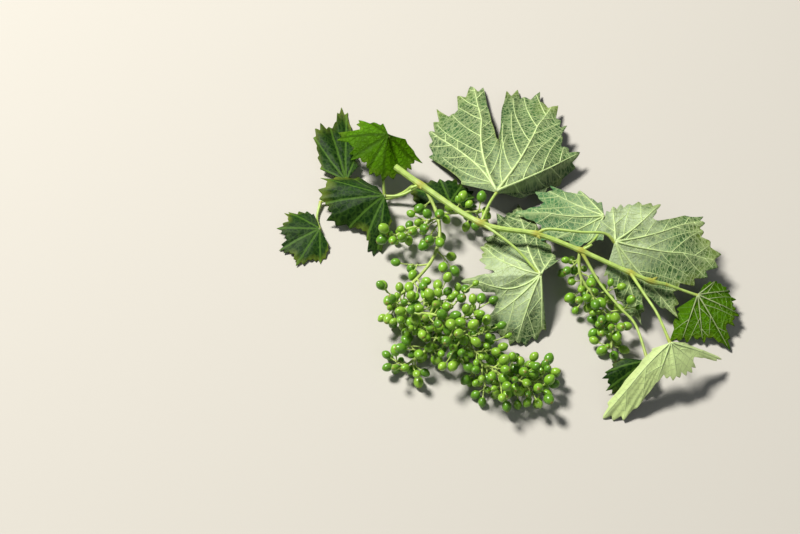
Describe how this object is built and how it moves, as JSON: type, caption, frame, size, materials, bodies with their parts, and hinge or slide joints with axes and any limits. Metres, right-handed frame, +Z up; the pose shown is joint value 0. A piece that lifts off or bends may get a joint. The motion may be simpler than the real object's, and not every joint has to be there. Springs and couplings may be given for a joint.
{
  "type": "cut grapevine shoot",
  "caption": "Cut green shoot of a grapevine lying on level ground, with lobed toothed leaves on long stalks and branched bunches of small unripe green grapes.",
  "frame": {"origin": "on the ground below the middle of the plant's box in plan", "axes": "+X runs across the plant, from the western leaves to the far eastern leaf; +Y runs from the bunch to the leaf at the north; +Z is up from the level ground it lies on"},
  "size_m": [0.3928, 0.3341, 0.0545],
  "materials": {
    "shoot": "satin",
    "leaf": "satin",
    "berry": "satin"
  },
  "bodies": {
    "root": {"shoot": "shoot", "side_shoot": "shoot", "leaf_north": "leaf", "leaf_middle": "leaf", "leaf_east": "leaf", "leaf_folded": "leaf", "leaf_south": "leaf", "leaf_south_low": "leaf", "leaf_far_east": "leaf", "leaf_west_high": "leaf", "leaf_west": "leaf", "leaf_northwest": "leaf", "leaf_southwest": "leaf", "leaf_tucked": "leaf", "bunch_stalk": "berry", "bunch_left_arm": "berry", "bunch_right_arm": "berry", "bunch_shoulder": "berry", "bunch_tail": "berry", "bunch_low_wing": "berry", "shaded_bunch": "berry"}
  },
  "joints": []
}
